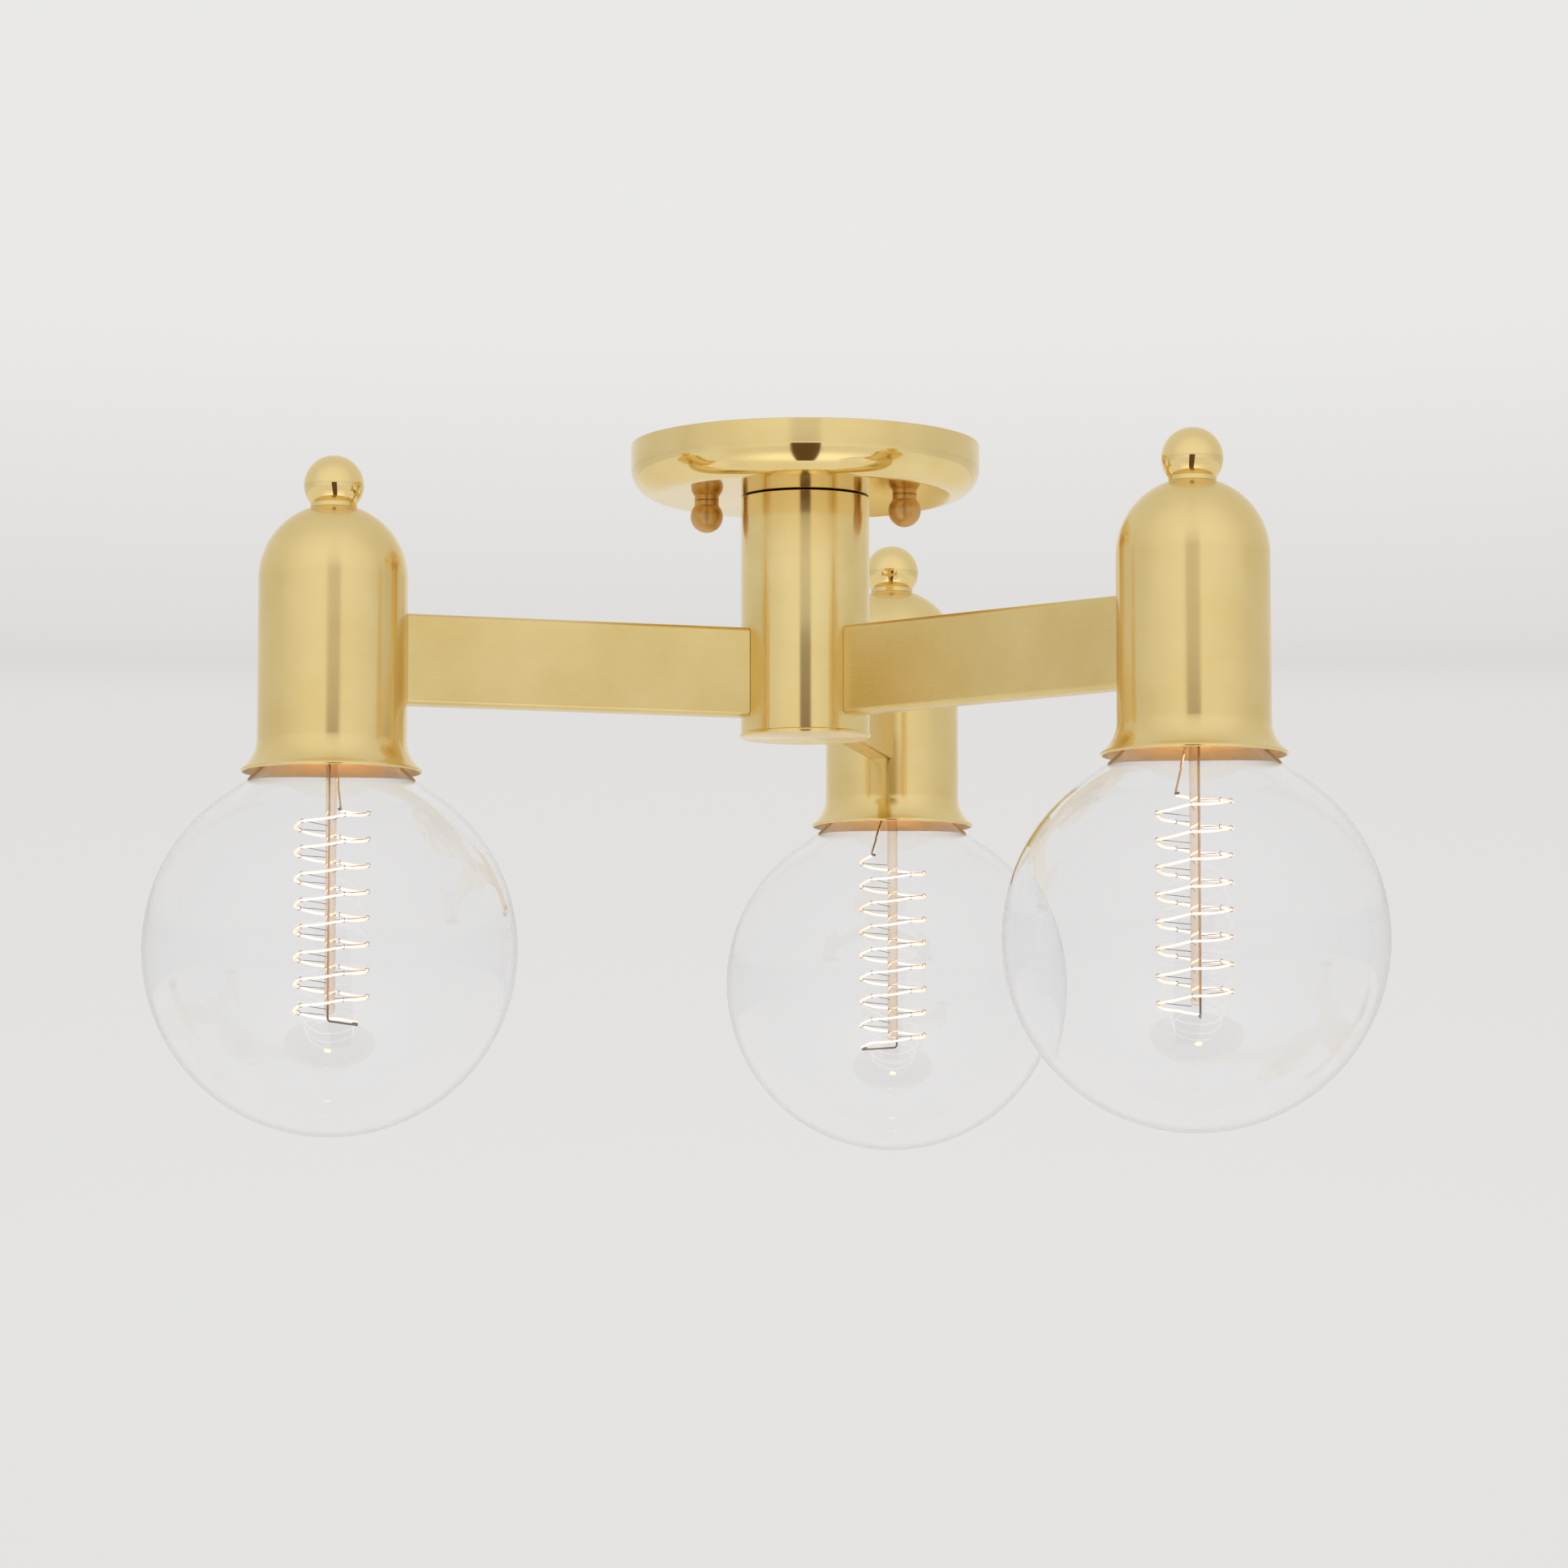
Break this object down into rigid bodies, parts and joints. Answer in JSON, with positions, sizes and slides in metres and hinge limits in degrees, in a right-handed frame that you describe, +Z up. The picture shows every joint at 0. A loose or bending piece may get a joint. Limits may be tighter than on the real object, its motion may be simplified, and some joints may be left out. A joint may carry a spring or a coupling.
{
  "type": "semi flush ceiling light",
  "caption": "Semi flush ceiling light: a round canopy and a tubular column carry flat arms with bell shaped lamp holders and clear globe bulbs with spiral filaments.",
  "frame": {"origin": "centre of the canopy's rim, in the plane of the ceiling, which is also the centre of the two ceiling box slots", "axes": "+Z up into the ceiling; +Y along the rear arm; +X to the right of someone who faces the rear arm"},
  "size_m": [0.4141, 0.3755, 0.2404],
  "materials": {
    "zinc_steel": "zinc plated, satin",
    "green_steel": "green dipped, gloss",
    "satin_brass": "satin brushed, lacquered",
    "polished_brass": "polished, lacquered",
    "antique_brass": "antique, satin",
    "black_plastic": "moulded, matte",
    "bare_brass": "rolled thin sheet, bright",
    "wire_insulation": "flexible insulation",
    "orange_plastic": "moulded, matte",
    "clear_glass": "clear, blown",
    "cap_brass": "drawn thin sheet, bright",
    "cement": "baked cement, matte",
    "black_glass": "fired vitreous insulator, glossy",
    "solder": "soft solder, dull",
    "filament": "drawn wire, glowing warm white",
    "lead_wire": "drawn nickel wire, dull"
  },
  "bodies": {
    "fixture": {"arm_left": "satin_brass", "arm_rear": "satin_brass", "arm_right": "satin_brass", "bell_arm_screws": "zinc_steel", "bell_finials": "polished_brass", "bell_nuts": "zinc_steel", "bell_pipes": "zinc_steel", "bells": "satin_brass", "box_strap": "zinc_steel", "canopy": "satin_brass", "canopy_ball_nuts": "antique_brass", "canopy_strap": "zinc_steel", "canopy_studs": "zinc_steel", "canopy_washer": "zinc_steel", "column": "polished_brass", "column_arm_screws": "zinc_steel", "column_bottom_cap": "satin_brass", "column_pipe": "zinc_steel", "column_pipe_nuts": "zinc_steel", "column_top_plate": "zinc_steel", "ground_screw": "green_steel", "lamp_leads": "wire_insulation", "shadow_gap_ring": "black_plastic", "socket_bodies": "black_plastic", "socket_contacts": "bare_brass", "socket_shells": "bare_brass", "strap_rivet": "zinc_steel", "stud_lock_nuts": "zinc_steel", "supply_leads": "wire_insulation", "supply_wire_nuts": "orange_plastic", "terminal_block": "black_plastic"},
    "bulb_tip_rear": {"base_tip_rear": "solder"},
    "bulb_rear": {"glass_globe_rear": "clear_glass", "screw_cap_rear": "cap_brass", "base_cement_rear": "cement", "base_insulator_rear": "black_glass", "glass_stem_rear": "clear_glass", "filament_rear": "filament", "filament_leads_rear": "lead_wire"},
    "bulb_tip_left": {"base_tip_left": "solder"},
    "bulb_left": {"glass_globe_left": "clear_glass", "screw_cap_left": "cap_brass", "base_cement_left": "cement", "base_insulator_left": "black_glass", "glass_stem_left": "clear_glass", "filament_left": "filament", "filament_leads_left": "lead_wire"},
    "bulb_tip_right": {"base_tip_right": "solder"},
    "bulb_right": {"glass_globe_right": "clear_glass", "screw_cap_right": "cap_brass", "base_cement_right": "cement", "base_insulator_right": "black_glass", "glass_stem_right": "clear_glass", "filament_right": "filament", "filament_leads_right": "lead_wire"}
  },
  "joints": [
    {"name": "bulb_rear_travel", "type": "slide", "parent": "fixture", "child": "bulb_tip_rear", "axis": [0, 0, -1], "range_m": [0, 0.0182]},
    {"name": "bulb_rear_turn", "type": "hinge", "parent": "bulb_tip_rear", "child": "bulb_rear", "pos_m": [0, 0.167, -0.0936], "axis": [0, 0, -1], "range_deg": [0, 1800]},
    {"name": "bulb_left_travel", "type": "slide", "parent": "fixture", "child": "bulb_tip_left", "axis": [0, 0, -1], "range_m": [0, 0.0182]},
    {"name": "bulb_left_turn", "type": "hinge", "parent": "bulb_tip_left", "child": "bulb_left", "pos_m": [-0.14463, -0.0835, -0.0936], "axis": [0, 0, -1], "range_deg": [0, 1800]},
    {"name": "bulb_right_travel", "type": "slide", "parent": "fixture", "child": "bulb_tip_right", "axis": [0, 0, -1], "range_m": [0, 0.0182]},
    {"name": "bulb_right_turn", "type": "hinge", "parent": "bulb_tip_right", "child": "bulb_right", "pos_m": [0.14463, -0.0835, -0.0936], "axis": [0, 0, -1], "range_deg": [0, 1800]}
  ],
  "couplings": [
    {"joint": "bulb_rear_travel", "follows": "bulb_rear_turn", "m_per_rad": 0.00057757},
    {"joint": "bulb_left_travel", "follows": "bulb_left_turn", "m_per_rad": 0.00057757},
    {"joint": "bulb_right_travel", "follows": "bulb_right_turn", "m_per_rad": 0.00057757}
  ]
}
